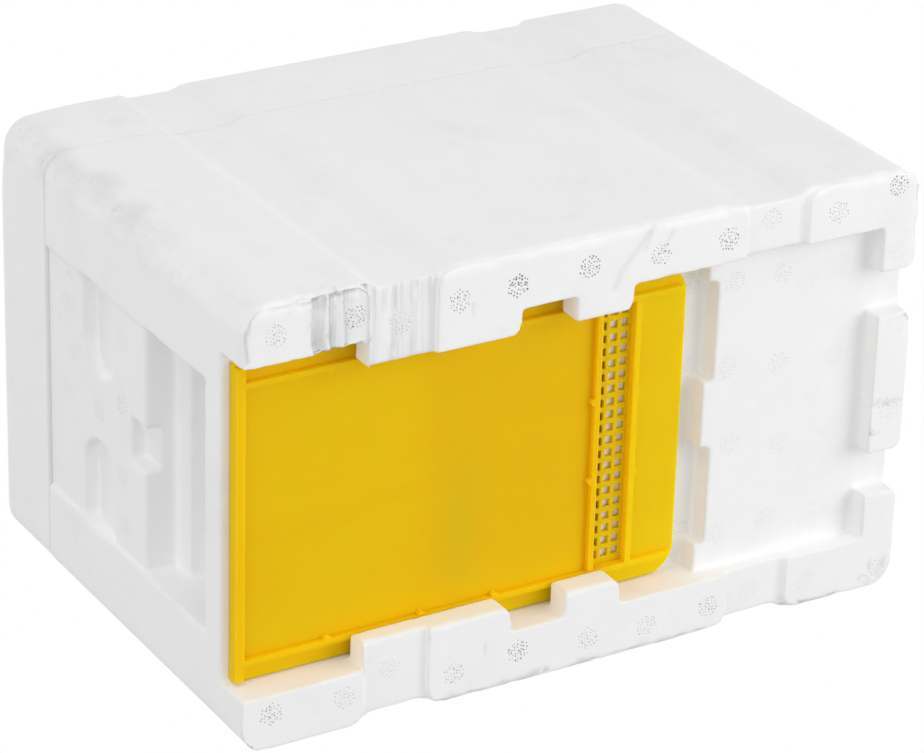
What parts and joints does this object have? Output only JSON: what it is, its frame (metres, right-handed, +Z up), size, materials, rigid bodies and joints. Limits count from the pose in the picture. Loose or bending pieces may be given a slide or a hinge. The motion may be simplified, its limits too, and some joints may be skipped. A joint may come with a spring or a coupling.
{
  "type": "nuc box",
  "caption": "Foam mating nuc box for bees: rounded body on foot rails, lift-off lid, plastic floor slide with a vent grid, entrance window, strap grooves, and frames and feeder inside.",
  "frame": {"origin": "middle of the foot plane, where the rails meet the ground", "axes": "+Z up towards the lid, -Y the entrance end, +Y the feeder end, X across the box"},
  "size_m": [0.161, 0.261, 0.188],
  "materials": {
    "foam": "moulded white bead foam, matt, with vent marks",
    "foam_lid": "moulded white bead foam, matt",
    "slide_plastic": "satin yellow moulded plastic, slightly translucent",
    "inner_plastic": "satin yellow moulded plastic",
    "clear_sheet": "clear flexible plastic sheet"
  },
  "bodies": {
    "box": {"body": "foam", "feeder": "inner_plastic", "queen_excluder": "inner_plastic", "inner_cover": "clear_sheet", "frame_1": "inner_plastic", "frame_2": "inner_plastic", "frame_3": "inner_plastic", "frame_4": "inner_plastic"},
    "lid": {"lid": "foam_lid"},
    "floor_slide": {"floor_slide": "slide_plastic"}
  },
  "joints": [
    {"name": "lid_lift", "type": "slide", "parent": "box", "child": "lid", "axis": [0, 0, 1], "range_m": [0, 0.12]},
    {"name": "floor_slide_draw", "type": "slide", "parent": "box", "child": "floor_slide", "axis": [0, -1, 0], "range_m": [-0.005, 0.12]}
  ]
}
